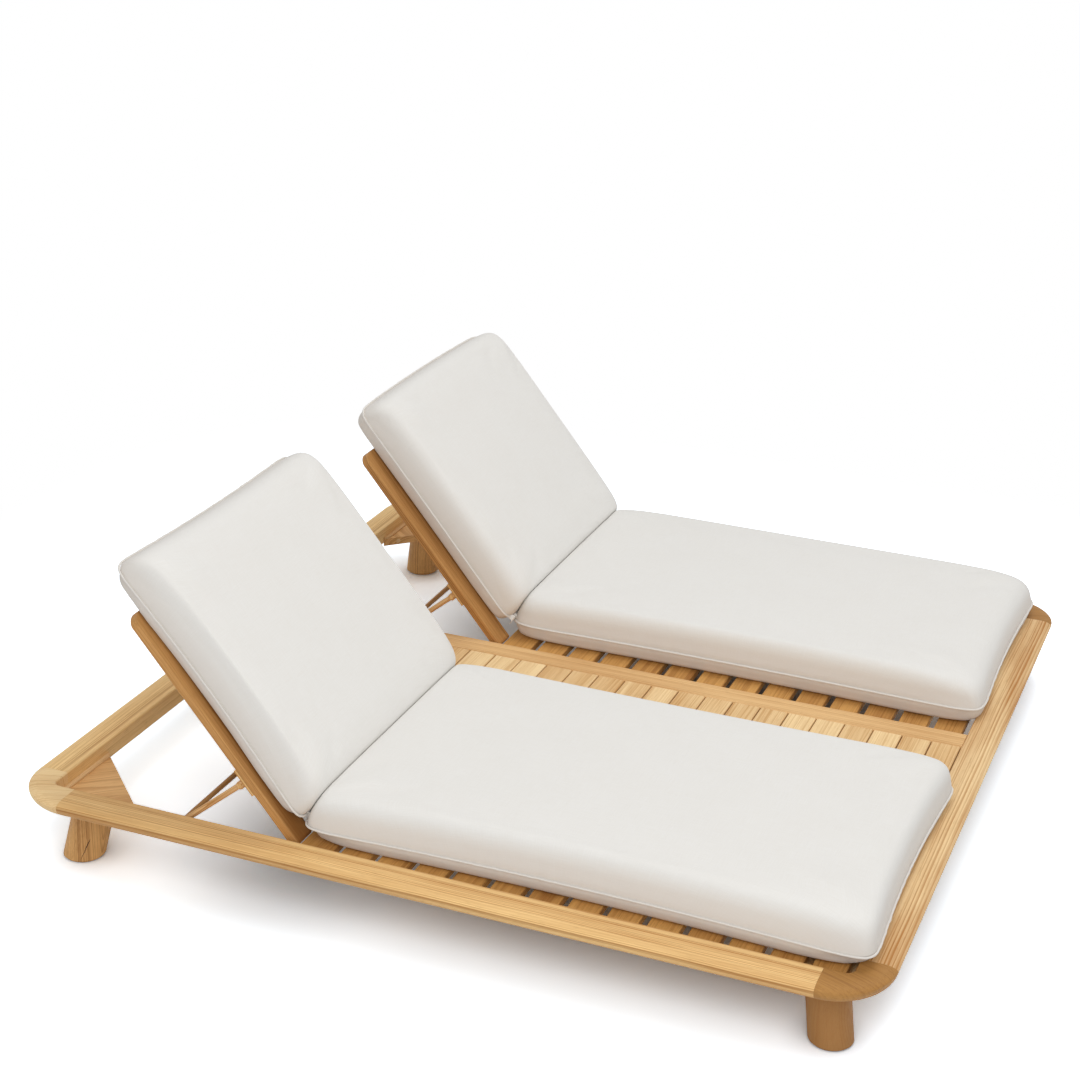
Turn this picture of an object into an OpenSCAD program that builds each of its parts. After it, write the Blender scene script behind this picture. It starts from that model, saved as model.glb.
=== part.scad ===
// Outdoor daybed for two: a wooden frame on round splayed legs, a slatted bay on each side of
// a narrow middle deck, and in each bay a hinged backrest, its prop and two cushions.
// X runs from the head (-) to the foot (+), Y from the right bay (-) to the left bay (+).
// The origin is on the ground, under the middle of the frame.

/* [Frame] */
// Length of the frame, outside to outside
frame_len = 2000; // [1900:10:2200]
// Width of the frame, outside to outside
frame_wid = 2090; // [2000:10:2300]
// Height of the frame's top above the ground
frame_top = 193; // [185:1:240]
// Width of a rail
rail_w = 77; // [70:1:90]
// Height of a rail
rail_h = 46; // [42:1:54]
// Width of the flat on top of a rail
rail_flat = 47; // [40:1:54]
// Drop of the first curve beside the flat
rail_shoulder = 11; // [7:1:16]
// Width of the flat under a rail
rail_sole = 19; // [14:1:28]
// Easing of inner top edges
arris = 2.5; // [1:0.5:4]
// Length of a corner block past the inner face of the rail beside it
corner_len = 59; // [50:1:75]
// Radius inside a corner
corner_fillet = 20; // [12:1:30]
// Diameter of the dowels in the corner joints
peg_d = 12; // [8:1:14]
// Length of those dowels
peg_len = 80; // [50:5:96]

/* [Middle deck] */
// Width of a spine
spine_w = 69; // [55:1:80]
// Space between the spines
deck_w = 164; // [120:2:200]
// Number of deck slats
deck_count = 26; // [20:1:32]
// Gap between deck slats
deck_gap = 3; // [2:0.5:8]
// Recess of the deck slats below the frame's top
deck_recess = 1; // [0.5:0.5:4]

/* [Seat slats] */
// Number of slats in a bay
seat_count = 14; // [10:1:16]
// Gap between seat slats
seat_gap = 18; // [10:1:24]
// Recess of the seat slats below the frame's top
seat_recess = 12; // [8:1:16]
// Thickness of every loose slat
slat_t = 18; // [14:1:20]
// Width of a batten under slat ends
batten_w = 30; // [20:1:36]
// Height of a batten under slat ends
batten_h = 20; // [14:1:24]

/* [Legs] */
// Diameter of a leg
leg_d = 94; // [70:1:100]
// Lean of a leg outward along X, and the same along Y
leg_lean = 10.1; // [4:0.1:12]
// Place of a leg's foot in from the frame's outer edge along X
leg_in_x = 119; // [110:1:140]
// Place of a leg's foot in from the frame's outer edge along Y
leg_in_y = 122.5; // [112:0.5:145]
// Easing at the foot of a leg
leg_ease = 4.5; // [2:0.5:8]
// Side of a corner gusset
gusset_side = 228; // [210:1:250]
// Thickness of a gusset
gusset_t = 22; // [18:1:28]
// Drop of a gusset below the rails
gusset_drop = 10; // [6:1:14]
// Width of the cleat on a gusset
cleat_w = 13; // [10:1:16]
// Thickness of that cleat
cleat_t = 5; // [3:0.5:6]
// Diameter of the plug over a gusset screw
plug_d = 14; // [10:1:16]
// Diameter of the bolt between a gusset and its leg
bolt_d = 10; // [8:1:12]
// Length of that bolt
bolt_len = 68; // [50:1:80]

/* [Backrest] */
// Angle of the backs above level, as they stand in the model
back_angle = 49.8; // [35:0.1:53]
// Length of a bay that is kept free of seat slats for its backrest
back_room = 628; // [610:1:660]
// Distance from the first seat slat to the hinge pins
pivot_gap = 22.5; // [16:0.5:30]
// Clearance between the first seat slat and the stiles' rounded feet
foot_gap = 2.5; // [1.5:0.5:5]
// Drop of the hinge pins below the frame's top
pivot_drop = 10.5; // [10:0.5:12]
// Width of a stile
stile_w = 65; // [50:1:75]
// Thickness of a stile
stile_t = 22; // [20:1:22]
// Rounding of a stile's edges
stile_ease = 4; // [2:0.5:6]
// Radius of a back's top corners
stile_corner = 35; // [20:1:50]
// Gap between a back and the frame at each side
back_side_gap = 7; // [5:0.5:10]
// Gap between a back laid flat and the head rail
back_head_gap = 4; // [3:0.5:8]
// Number of slats in a back
back_count = 5; // [3:1:5]
// Width of a back slat
back_slat_w = 62; // [40:1:64]
// Thickness of a back slat
back_slat_t = 15; // [12:1:18]
// Diameter of a hinge pin
pin_d = 8; // [6:1:9]

/* [Prop] */
// Place of the prop's pins up a stile
knuckle_at = 167; // [150:1:180]
// Distance of the prop's pins behind a stile
knuckle_out = 17; // [16:0.5:18]
// Length of the block that carries a prop's pin
knuckle_len = 68; // [50:1:80]
// Thickness of that block
knuckle_t = 6; // [4:0.5:6]
// Length of a prop from its pins to its crossbar
prop_len = 205.5; // [198:0.5:215]
// Diameter of a prop's arms
arm_d = 13.5; // [12:0.5:14]
// Diameter of the crossbar at its ends
bar_d = 11; // [10:0.5:12]
// Diameter of the crossbar in the middle
bar_mid_d = 14; // [12:0.5:15]
// Diameter of a prop's pin
prop_pin_d = 6; // [5:0.5:8]
// Height of a notch rack
rack_h = 24; // [20:1:28]
// Projection of a rack into its bay
rack_out = 20; // [16:1:24]
// Depth of a notch
notch_deep = 6; // [4:0.5:8]

/* [Cushions] */
// Thickness of a cushion at its crown
cushion_t = 125; // [110:1:130]
// Height of the piped seam above a seat cushion's underside
seat_welt = 43.5; // [36:0.5:50]
// Height of the piped seam above a back cushion's rear face
back_welt = 40; // [32:0.5:48]
// Room beside a seat cushion at each side, when it lies in the middle of its bay
seat_cushion_room = 17.5; // [14:0.5:30]
// Room beside a back cushion at each side, when it lies in the middle of its bay
back_cushion_room = 23.5; // [16:0.5:32]
// Overlap of a seat cushion on the foot rail
seat_cushion_lap = 27; // [0:1:34]
// Distance of a seat cushion's head end from the hinge pins
seat_cushion_gap = 12.5; // [10:0.5:20]
// Start of a back cushion up its back
back_cushion_at = 44; // [42:1:56]
// Length of a back cushion
back_cushion_l = 676; // [600:1:678]
// Shift of the cushions in the right bay away from the bay's middle
right_shift = 7; // [-10:1:12]
// Shift of the seat cushion in the left bay away from the bay's middle
left_shift = 28; // [-10:1:28]
// Shift of the back cushion in the left bay away from the bay's middle
left_back_shift = 19; // [-10:1:20]
// Diameter of the piping
piping_d = 8; // [5:0.5:10]

/* [Hidden] */

$fn = 48;
arc_steps = 12;
// Overrun of cuts
over = 1;
// Gap at the ends of loose slats and around soft pieces
slat_clear = 1;
soft_clear = 0.5;
// Radial running clearance of the hinge pins
run_clear = 0.05;

in_l = frame_len - 2 * rail_w;
in_w = frame_wid - 2 * rail_w;
spine_out = deck_w / 2 + spine_w;
bay_w = in_w / 2 - spine_out;
bay_y = spine_out + bay_w / 2;
rail_bottom = frame_top - rail_h;
corner_x = in_l / 2 - corner_len;
corner_y = in_w / 2 - corner_len;
gusset_bottom = rail_bottom - gusset_drop;
gusset_top = gusset_bottom + gusset_t;

// Dowels stand under the flat of the rail, at these shares of its width
peg_shares = [0.22, 0.62];

// A gusset screw starts under a plug, runs square to the gusset's long edge and climbs
screw_d = 6;
screw_len = 78;
screw_climb = 5;
plug_deep = 10;
screw_in = 32;

seat_top = frame_top - seat_recess;
seat_end = back_room - in_l / 2;
seat_pitch = (in_l - back_room) / seat_count;
seat_slat_w = seat_pitch - seat_gap;
first_reach = pivot_gap - stile_t / 2 - foot_gap;
batten_top = seat_top - slat_t;
deck_pitch = in_l / deck_count;
deck_top = frame_top - deck_recess;
slat_ease = 3;

pivot_x = seat_end - pivot_gap;
pivot_z = frame_top - pivot_drop;
back_w = bay_w - 2 * back_side_gap;
back_len = pivot_x + in_l / 2 - back_head_gap;
top_rail_w = 65;
bottom_rail_w = 60;
bottom_rail_at = 62;
pin_hold = 40;
pin_seat = 30;

// The prop's pin stands behind the stile; its arms stand a little in from the stile's edge
knuckle_n = stile_t / 2 + knuckle_out;
arm_in = 11;
arm_y = back_w / 2 - arm_in;
arm_eye_r = 9.5;
arm_eye_t = 15;
lug_t = 13;
lug_gap = 0.5;
knuckle_w = 41;
pin_head_d = 11;
pin_head_t = 2.5;
bar_drop = 33;
bar_z = frame_top - bar_drop;
bar_clear = 4;
bar_cheek = 3;
rack_over = 17;
rack_rise = 1.5;
rack_lip = 8;
rack_bevel = 23;
rack_end = 20;
notch_r = bar_d / 2 + 1;
// Angles of the back at which the crossbar stands over a notch
rest_angles = [28, 39, 49.8, 58];

seat_cushion_w = bay_w - 2 * seat_cushion_room;
back_cushion_w = bay_w - 2 * back_cushion_room;
cushion_points = 48;
rise_steps = 6;
crown_shares = [0.66, 0.33];
// Height of a cushion's crown over its rim, and the round edge of its base
crown = 9;
base_round = 16;
// How far a cushion's top edge is rounded in from its head end, foot end and sides
seat_round = [96, 60, 62];
back_round = [42, 45, 55];
// Hollow of the long sides, and tuck of the corners at the two ends
seat_hollow = 12;
back_hollow = 5;
seat_tuck = [6, 3];
back_tuck = [10, 28];
strip_t = 7;
strip_inset = 24;

function arc(x, z, a, b, from, to, steps) =
    [for (i = [1:steps]) let (t = from + (to - from) * i / steps) [x + a * cos(t), z + b * sin(t)]];

// The rounded side of a rail, from the end of its flat top to its sole
function rail_curve(shift) = concat(
    [[shift + rail_flat, 0]],
    arc(shift + rail_flat, -rail_shoulder, rail_w - rail_flat, rail_shoulder, 90, 0, arc_steps),
    arc(shift + rail_sole, -rail_shoulder, rail_w - rail_sole, rail_h - rail_shoulder,
        0, -90, arc_steps));

// A bar along X with the rail's section: its inner top edge is the X axis, its body at +Y
module rail_bar(len) {
    rotate([90, 0, 90]) linear_extrude(len)
        polygon(concat([[0, -rail_h], [0, -arris], [arris, 0]], rail_curve(0)));
}

module at_corner(head, right) {
    mirror([head, 0, 0]) mirror([0, right, 0]) children();
}

module at_corners() {
    for (head = [0, 1], right = [0, 1]) at_corner(head, right) children();
}

// Plan of the space inside a corner, reaching len back from it, with the corner at the origin
module inner_corner(len, grow = 0) {
    r = corner_fillet;
    translate([-len, -len]) square([len, len - r]);
    translate([-len, -len]) square([len - r, len]);
    translate([-r, -r]) circle(r);
}

module corner_pegs() {
    for (share = peg_shares) {
        translate([corner_x - peg_len / 2, in_w / 2 + share * rail_w, frame_top - rail_h / 2])
            rotate([0, 90, 0]) cylinder(d = peg_d, h = peg_len);
        translate([in_l / 2 + share * rail_w, corner_y - peg_len / 2, frame_top - rail_h / 2])
            rotate([-90, 0, 0]) cylinder(d = peg_d, h = peg_len);
    }
}

module screw_axis(swap) {
    place = swap ? [-screw_in, screw_in - gusset_side] : [screw_in - gusset_side, -screw_in];
    translate([in_l / 2 + place[0], in_w / 2 + place[1], gusset_bottom + gusset_t / 2])
        rotate([0, -screw_climb, 45]) rotate([0, 90, 0]) children();
}

// Two screws per gusset: each passes through the long edge into the rail beside it
module gusset_screw_pair() {
    for (swap = [false, true]) screw_axis(swap) translate([0, 0, plug_deep])
        cylinder(d = screw_d, h = screw_len - plug_deep);
}

module side_rail(right) {
    color("burlywood") mirror([0, right, 0]) difference() {
        translate([-corner_x, in_w / 2, frame_top]) rail_bar(2 * corner_x);
        corner_pegs();
        mirror([1, 0, 0]) corner_pegs();
        gusset_screw_pair();
        mirror([1, 0, 0]) gusset_screw_pair();
        bay_pins();
    }
}

module end_rail(head) {
    color("burlywood") mirror([head, 0, 0]) difference() {
        translate([in_l / 2, corner_y, frame_top]) rotate([0, 0, -90]) rail_bar(2 * corner_y);
        corner_pegs();
        mirror([0, 1, 0]) corner_pegs();
        gusset_screw_pair();
        mirror([0, 1, 0]) gusset_screw_pair();
    }
}

module corner_block(head, right) {
    side = corner_len + over;
    color("tan") at_corner(head, right) difference() {
        translate([corner_x, corner_y, frame_top]) rotate_extrude(angle = 90)
            polygon(concat([[0, -rail_h], [0, 0]], rail_curve(corner_len)));
        translate([in_l / 2, in_w / 2, rail_bottom - over]) linear_extrude(rail_h + 2 * over)
            inner_corner(side);
        corner_arris();
        corner_pegs();
    }
}

// The eased edge inside a corner block
module corner_arris() {
    r = corner_fillet;
    run = corner_len + over - r;
    translate([in_l / 2, in_w / 2, frame_top]) {
        translate([-r, -r, -arris]) cylinder(r1 = r, r2 = r + arris + over, h = arris + over);
        for (swap = [0, 1]) mirror([swap, -swap, 0]) translate([0, -r, 0])
            rotate([90, 0, 0]) linear_extrude(run)
                polygon([[-over, -arris], [0, -arris], [arris + over, over], [-over, over]]);
    }
}

module corner_dowels() {
    color("peru") at_corners() corner_pegs();
}

module gusset_blank() {
    translate([in_l / 2, in_w / 2, gusset_bottom]) linear_extrude(gusset_t) intersection() {
        inner_corner(gusset_side);
        polygon([[0, 0], [-gusset_side, 0], [0, -gusset_side]]);
    }
}

module plug_pair(len) {
    for (swap = [false, true]) screw_axis(swap) translate([0, 0, -plug_deep])
        cylinder(d = plug_d, h = plug_deep + len);
}

module gusset(head, right) {
    color("sienna") at_corner(head, right) difference() {
        gusset_blank();
        plug_pair(plug_deep);
        gusset_screw_pair();
        leg_bolt();
    }
}

module gusset_plugs() {
    color("wheat") at_corners() intersection() {
        gusset_blank();
        plug_pair(plug_deep);
    }
}

module gusset_screws() {
    color("silver") at_corners() gusset_screw_pair();
}

// A light strip on each gusset, along the head or foot rail
module gusset_cleats() {
    color("wheat") at_corners() translate([in_l / 2, in_w / 2, gusset_top])
        linear_extrude(cleat_t) polygon([[-cleat_w, -corner_fillet], [0, -corner_fillet],
            [0, -gusset_side], [-cleat_w, cleat_w - gusset_side]]);
}

// The leg leans out along both axes, so its axis tilts towards the corner
leg_tilt = atan(tan(leg_lean) * sqrt(2));
leg_x = frame_len / 2 - leg_in_x;
leg_y = frame_wid / 2 - leg_in_y;
leg_top_x = leg_x - gusset_bottom * tan(leg_lean);
leg_top_y = leg_y - gusset_bottom * tan(leg_lean);

module leg_bolt() {
    translate([leg_top_x, leg_top_y, gusset_top - bolt_d / 2 - bolt_len])
        cylinder(d = bolt_d, h = bolt_len);
}

module leg(head, right) {
    color("burlywood") at_corner(head, right) difference() {
        intersection() {
            translate([leg_x, leg_y, 0]) rotate([0, 0, 45]) rotate([0, -leg_tilt, 0])
                translate([0, 0, -leg_d]) cylinder(d = leg_d, h = gusset_bottom + 2 * leg_d);
            translate([leg_x, leg_y, 0])
                cylinder(r1 = leg_d / 2 - leg_ease, r2 = leg_d / 2 - leg_ease + gusset_bottom,
                    h = gusset_bottom);
        }
        leg_bolt();
    }
}

module leg_bolts() {
    color("silver") at_corners() leg_bolt();
}

// A spine has a square section with both top edges eased
module spine(right) {
    color("burlywood") mirror([0, right, 0]) difference() {
        translate([-in_l / 2, deck_w / 2, frame_top]) rotate([90, 0, 90]) linear_extrude(in_l)
            polygon([[0, -rail_h], [0, -arris], [arris, 0], [spine_w - arris, 0],
                [spine_w, -arris], [spine_w, -rail_h]]);
        bay_pins();
    }
}

// Section of a slat, its top at zero, centred on the first axis, with its top edges rounded
module slat_section(w, t) {
    translate([-w / 2, -t]) square([w, t - slat_ease]);
    translate([slat_ease - w / 2, -t]) square([w - 2 * slat_ease, t]);
    for (s = [-1, 1]) translate([s * (w / 2 - slat_ease), -slat_ease]) circle(slat_ease);
}

// A slat across the bed, centred at the origin, its top at zero
module slat(w, t, len) {
    translate([0, len / 2, 0]) rotate([90, 0, 0]) linear_extrude(len) slat_section(w, t);
}

module deck_slats() {
    w = deck_pitch - deck_gap;
    color("tan") for (i = [0:deck_count - 1])
        translate([i * deck_pitch + w / 2 - in_l / 2, 0, deck_top])
            slat(w, slat_t, deck_w - 2 * slat_clear);
}

module deck_battens() {
    color("peru") for (right = [0, 1]) mirror([0, right, 0])
        translate([-in_l / 2, deck_w / 2 - batten_w, deck_top - slat_t - batten_h])
            cube([in_l, batten_w, batten_h]);
}

// The first slat is wider than the rest and reaches up to the stiles' feet
module seat_slats(right) {
    color("tan") mirror([0, right, 0]) for (i = [0:seat_count - 1]) {
        w = seat_slat_w + (i == 0 ? first_reach : 0);
        translate([seat_end + seat_slat_w - w / 2 + i * seat_pitch, bay_y, seat_top])
            slat(w, slat_t, bay_w - 2 * slat_clear);
    }
}

// Under the slat ends: a batten along the spine, and one along the side rail cut over the gusset
module seat_battens() {
    color("peru") for (right = [0, 1]) mirror([0, right, 0]) {
        translate([seat_end, spine_out, batten_top - batten_h])
            cube([in_l / 2 - seat_end, batten_w, batten_h]);
        translate([seat_end, in_w / 2 - batten_w, batten_top - batten_h])
            cube([in_l / 2 - gusset_side - seat_end, batten_w, batten_h]);
        translate([in_l / 2 - gusset_side - over, in_w / 2 - batten_w, gusset_top])
            cube([gusset_side + over - corner_fillet, batten_w, batten_top - gusset_top]);
    }
}

// Places in the plane of a back at angle t: s up the back from the pins, n in front of them
function back_x(t, s, n) = pivot_x - s * cos(t) + n * sin(t);
function back_z(t, s, n) = pivot_z + s * sin(t) + n * cos(t);
function arm_angle(t) = asin((back_z(t, knuckle_at, -knuckle_n) - bar_z) / prop_len);
function bar_x(t) = back_x(t, knuckle_at, -knuckle_n) - prop_len * cos(arm_angle(t));

// Racks under the rails and spines, clear of the gussets; the crossbar stands over their notches
module notch_racks() {
    from = bar_x(rest_angles[0]) - rack_end;
    len = bar_x(rest_angles[len(rest_angles) - 1]) + rack_end - from;
    color("peru") difference() {
        for (right = [0, 1], inner = [0, 1]) mirror([0, right, 0])
            translate([0, bay_y, 0]) mirror([0, inner, 0]) rack(from, len);
        at_corners() gusset_blank();
    }
}

module rack(from, len) {
    inner_y = bay_w / 2 - rack_out;
    wide = rack_out + rack_over;
    notch_z = rail_bottom + rack_rise + notch_r - notch_deep;
    difference() {
        translate([from, inner_y, rail_bottom]) rotate([90, 0, 90]) linear_extrude(len)
            polygon([[0, rack_rise], [rack_out, rack_rise], [rack_out, 0], [wide, 0],
                [wide, -rack_lip], [wide - rack_bevel, -rack_h], [0, -rack_h]]);
        for (t = rest_angles) translate([bar_x(t), bay_w / 2 + over, notch_z])
            rotate([90, 0, 0]) cylinder(r = notch_r, h = rack_out + 2 * over);
    }
}

// Hinge pins of one bay: each is fast in the frame and runs in a stile
module bay_pins() {
    for (inner = [0, 1]) translate([pivot_x, bay_y, pivot_z]) mirror([0, inner, 0])
        translate([0, back_w / 2 - pin_hold, 0]) rotate([-90, 0, 0])
            cylinder(d = pin_d, h = pin_hold + back_side_gap + pin_seat);
}

module pivot_pins() {
    color("silver") for (right = [0, 1]) mirror([0, right, 0]) bay_pins();
}

// From here a back lies flat, its pins on the Y axis and its head towards -X
module back_place(right) {
    mirror([0, right, 0]) translate([pivot_x, bay_y, pivot_z]) rotate([0, back_angle, 0])
        children();
}

module eased_section(w, t, ease) {
    translate([ease - w / 2, -t / 2]) square([w - 2 * ease, t]);
    translate([-w / 2, ease - t / 2]) square([w, t - 2 * ease]);
    for (x = [-1, 1], y = [-1, 1])
        translate([x * (w / 2 - ease), y * (t / 2 - ease)]) circle(ease);
}

module stile_side() {
    circle(d = stile_t);
    translate([-back_len, -stile_t / 2]) square([back_len, stile_t]);
}

module stile_plan() {
    top = stile_corner - back_len;
    edge = back_w / 2 - stile_corner;
    translate([top, back_w / 2 - stile_w]) square([stile_t - top, stile_w]);
    translate([-back_len, back_w / 2 - stile_w]) square([stile_corner, stile_w - stile_corner]);
    translate([top, edge]) circle(stile_corner);
}

module stile(right, inner) {
    reach = back_len + stile_t;
    color("burlywood") back_place(right) mirror([0, inner, 0]) difference() {
        intersection() {
            translate([0, back_w / 2, 0]) rotate([90, 0, 0]) linear_extrude(stile_w) stile_side();
            translate([-reach, back_w / 2 - stile_w / 2, 0]) rotate([90, 0, 90])
                linear_extrude(2 * reach) eased_section(stile_w, stile_t, stile_ease);
            translate([0, 0, -stile_t]) linear_extrude(2 * stile_t) stile_plan();
        }
        translate([0, back_w / 2 - pin_hold - over, 0]) rotate([-90, 0, 0])
            cylinder(r = pin_d / 2 + run_clear, h = pin_hold + 2 * over);
    }
}

// A rail between the stiles, w wide, centred at s up the back
module cross_rail(s, w, t, ease) {
    len = back_w - 2 * stile_w;
    translate([-s, len / 2, stile_t / 2 - t / 2]) rotate([90, 0, 0]) linear_extrude(len)
        eased_section(w, t, ease);
}

module back_top_rail(right) {
    color("burlywood") back_place(right)
        cross_rail(back_len - top_rail_w / 2, top_rail_w, stile_t, stile_ease);
}

module back_bottom_rail(right) {
    color("burlywood") back_place(right)
        cross_rail(bottom_rail_at + bottom_rail_w / 2, bottom_rail_w, stile_t, stile_ease);
}

module back_slats(right) {
    from = bottom_rail_at + bottom_rail_w;
    gap = (back_len - top_rail_w - from - back_count * back_slat_w) / (back_count + 1);
    color("tan") back_place(right) for (i = [0:back_count - 1])
        cross_rail(from + gap + back_slat_w / 2 + i * (back_slat_w + gap), back_slat_w,
            back_slat_t, slat_ease);
}

module at_knuckles(right) {
    back_place(right) for (inner = [0, 1]) mirror([0, inner, 0])
        translate([-knuckle_at, arm_y, -knuckle_n]) children();
}

// A block on the stile's back with one lug, beside which the arm's eye turns
module prop_knuckles(right) {
    lug_y = -arm_eye_t / 2 - lug_gap;
    color("peru") at_knuckles(right) difference() {
        union() {
            translate([-knuckle_len / 2, lug_y - lug_t - arm_in + lug_gap, knuckle_out - knuckle_t])
                cube([knuckle_len, knuckle_w, knuckle_t]);
            translate([0, lug_y, 0]) rotate([90, 0, 0]) cylinder(r = arm_eye_r, h = lug_t);
            translate([-arm_eye_r, lug_y - lug_t, 0])
                cube([2 * arm_eye_r, lug_t, knuckle_out - knuckle_t]);
        }
        translate([0, lug_y + over, 0]) rotate([90, 0, 0])
            cylinder(d = prop_pin_d, h = lug_t + 2 * over);
    }
}

module prop_pins(right) {
    color("silver") at_knuckles(right) rotate([90, 0, 0]) {
        head_z = -arm_eye_t / 2 - lug_gap;
        translate([0, 0, head_z]) cylinder(d = prop_pin_d, h = arm_eye_t + 2 * lug_gap + lug_t);
        translate([0, 0, head_z - pin_head_t]) cylinder(d = pin_head_d, h = pin_head_t);
    }
}

// From here a prop lies along -X from its pins
module prop_place(right) {
    x = back_x(back_angle, knuckle_at, -knuckle_n);
    z = back_z(back_angle, knuckle_at, -knuckle_n);
    mirror([0, right, 0]) translate([x, bay_y, z]) rotate([0, -arm_angle(back_angle), 0])
        children();
}

module prop_arms(right) {
    color("burlywood") prop_place(right) for (inner = [0, 1]) mirror([0, inner, 0])
        translate([0, arm_y, 0]) difference() {
            union() {
                rotate([90, 0, 0]) cylinder(r = arm_eye_r, h = arm_eye_t, center = true);
                rotate([0, -90, 0]) cylinder(d = arm_d, h = prop_len - bar_cheek);
            }
            rotate([90, 0, 0]) cylinder(r = prop_pin_d / 2 + run_clear, h = 2 * arm_eye_t,
                center = true);
            translate([-prop_len, 0, 0]) rotate([90, 0, 0])
                cylinder(d = bar_d, h = 2 * arm_eye_t, center = true);
        }
}

module prop_crossbar(right) {
    half = bay_w / 2 - bar_clear;
    straight = arm_y - arm_eye_t;
    color("sienna") prop_place(right) translate([-prop_len, 0, 0])
        for (inner = [0, 1]) mirror([0, inner, 0]) rotate([-90, 0, 0]) {
            cylinder(d1 = bar_mid_d, d2 = bar_d, h = straight);
            cylinder(d = bar_d, h = half);
        }
}

// One ring of a cushion's skin. Its sides follow a superellipse: a higher power gives a
// squarer corner. The inset draws in the head end, the foot end and the sides. The long sides
// are hollowed between the corners, and the corners of each end are tucked back from its middle.
function skin_ring(l, w, inset, z, power, hollow, tuck) =
    [for (i = [0:cushion_points - 1])
        let (a = 360 * i / cushion_points, c = cos(a), s = sin(a), end = c > 0 ? 1 : 0,
            px = sign(c) * pow(abs(c), 2 / power), py = sign(s) * pow(abs(s), 2 / power),
            hx = l / 2 - inset[end] - tuck[end] * py * py,
            hy = w / 2 - inset[2] - hollow * (1 - px * px))
        [l / 2 + hx * px, hy * py, z]];

// A boxed cushion from x = 0 to l, its underside at zero: a flat base with a round edge, a
// piped seam at the welt's height, long curves over the ends and sides, and a low crown
module cushion(l, w, welt, round, hollow, tuck) {
    pipe = piping_d / 2;
    rim = cushion_t - crown;
    even = [1, 1, 1];
    low = [for (t = [90, 55, 20]) skin_ring(l, w, base_round * (1 - cos(t)) * even,
        (welt - pipe) * (1 - sin(t)), 14, hollow, tuck)];
    seam = [for (side = [-1, 0, 1]) skin_ring(l, w, pipe * abs(side) * even,
        welt + pipe * side, 18 - 2 * abs(side), hollow, tuck)];
    high = [for (i = [1:rise_steps]) let (t = 15 + 75 * i / rise_steps, k = 1 - cos(t))
        skin_ring(l, w, pipe * even + round * k, welt + pipe + (rim - welt - pipe) * sin(t),
            15 - 9 * k, hollow * (1 - k), tuck)];
    middle = [l / 2, l / 2, w / 2];
    top = [for (f = crown_shares) skin_ring(l, w, round * f + middle * (1 - f),
        rim + crown * (1 - f * f), 4, 0, tuck * f)];
    rings = concat(low, seam, high, top);
    n = cushion_points;
    count = len(rings);
    points = concat([[l / 2, 0, 0]], [for (r = rings) each r], [[l / 2, 0, cushion_t]]);
    base = [for (i = [0:n - 1]) [0, 1 + i, 1 + (i + 1) % n]];
    walls = [for (k = [0:count - 2], i = [0:n - 1]) let (a = 1 + k * n + i,
        b = 1 + k * n + (i + 1) % n) each [[a, b + n, b], [a, a + n, b + n]]];
    lid = [for (i = [0:n - 1]) let (a = 1 + (count - 1) * n)
        [a + i, 1 + count * n, a + (i + 1) % n]];
    polyhedron(points = points, faces = concat(base, walls, lid), convexity = 4);
}

// A seat cushion lies on the slats and laps over the foot rail, where its base is cut away
module seat_cushion(right, shift) {
    from = pivot_x + seat_cushion_gap;
    l = in_l / 2 + seat_cushion_lap - from;
    color("ivory") mirror([0, right, 0]) difference() {
        translate([from, bay_y + shift, seat_top + soft_clear / 2])
            cushion(l, seat_cushion_w, seat_welt, seat_round, seat_hollow, seat_tuck);
        for (box = [[[in_l / 2 - soft_clear, 0], [rail_w, frame_wid]],
                [[0, in_w / 2 - soft_clear], [frame_len, rail_w]]])
            translate([box[0][0], box[0][1], 0])
                cube([box[1][0], box[1][1], frame_top + soft_clear]);
    }
}

module back_cushion(right, shift) {
    color("ivory") back_place(right)
        translate([-back_cushion_at, shift, stile_t / 2 + soft_clear]) mirror([1, 0, 0])
            cushion(back_cushion_l, back_cushion_w, back_welt, back_round, back_hollow, back_tuck);
}

// A strip of fabric that joins the two cushions, drawn as it stands at the seat cushion's end
module hinge_strip(right, shift) {
    half = seat_cushion_w / 2 - strip_inset;
    low = seat_welt / 2;
    color("linen") mirror([0, right, 0])
        translate([pivot_x + seat_cushion_gap - soft_clear - strip_t, bay_y + shift - half,
            seat_top + low])
            cube([strip_t, 2 * half, seat_welt - low + piping_d]);
}

side_rail(1);  // side_rail_right
side_rail(0);  // side_rail_left
end_rail(1);  // head_rail
end_rail(0);  // foot_rail
corner_block(1, 1);  // corner_block_head_right
corner_block(1, 0);  // corner_block_head_left
corner_block(0, 1);  // corner_block_foot_right
corner_block(0, 0);  // corner_block_foot_left
corner_dowels();
gusset(1, 1);  // gusset_head_right
gusset(1, 0);  // gusset_head_left
gusset(0, 1);  // gusset_foot_right
gusset(0, 0);  // gusset_foot_left
gusset_cleats();
gusset_plugs();
gusset_screws();
leg(1, 1);  // leg_head_right
leg(1, 0);  // leg_head_left
leg(0, 1);  // leg_foot_right
leg(0, 0);  // leg_foot_left
leg_bolts();
spine(1);  // spine_right
spine(0);  // spine_left
deck_slats();
deck_battens();
seat_slats(1);  // seat_slats_right
seat_slats(0);  // seat_slats_left
seat_battens();
notch_racks();
pivot_pins();
seat_cushion(1, -right_shift);  // seat_cushion_right
seat_cushion(0, left_shift);  // seat_cushion_left
hinge_strip(1, -right_shift);  // hinge_strip_right
hinge_strip(0, left_shift);  // hinge_strip_left
stile(1, 0);  // back_outer_stile_right
stile(1, 1);  // back_inner_stile_right
back_top_rail(1);  // back_top_rail_right
back_bottom_rail(1);  // back_bottom_rail_right
back_slats(1);  // back_slats_right
prop_knuckles(1);  // prop_knuckles_right
prop_pins(1);  // prop_pins_right
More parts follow.
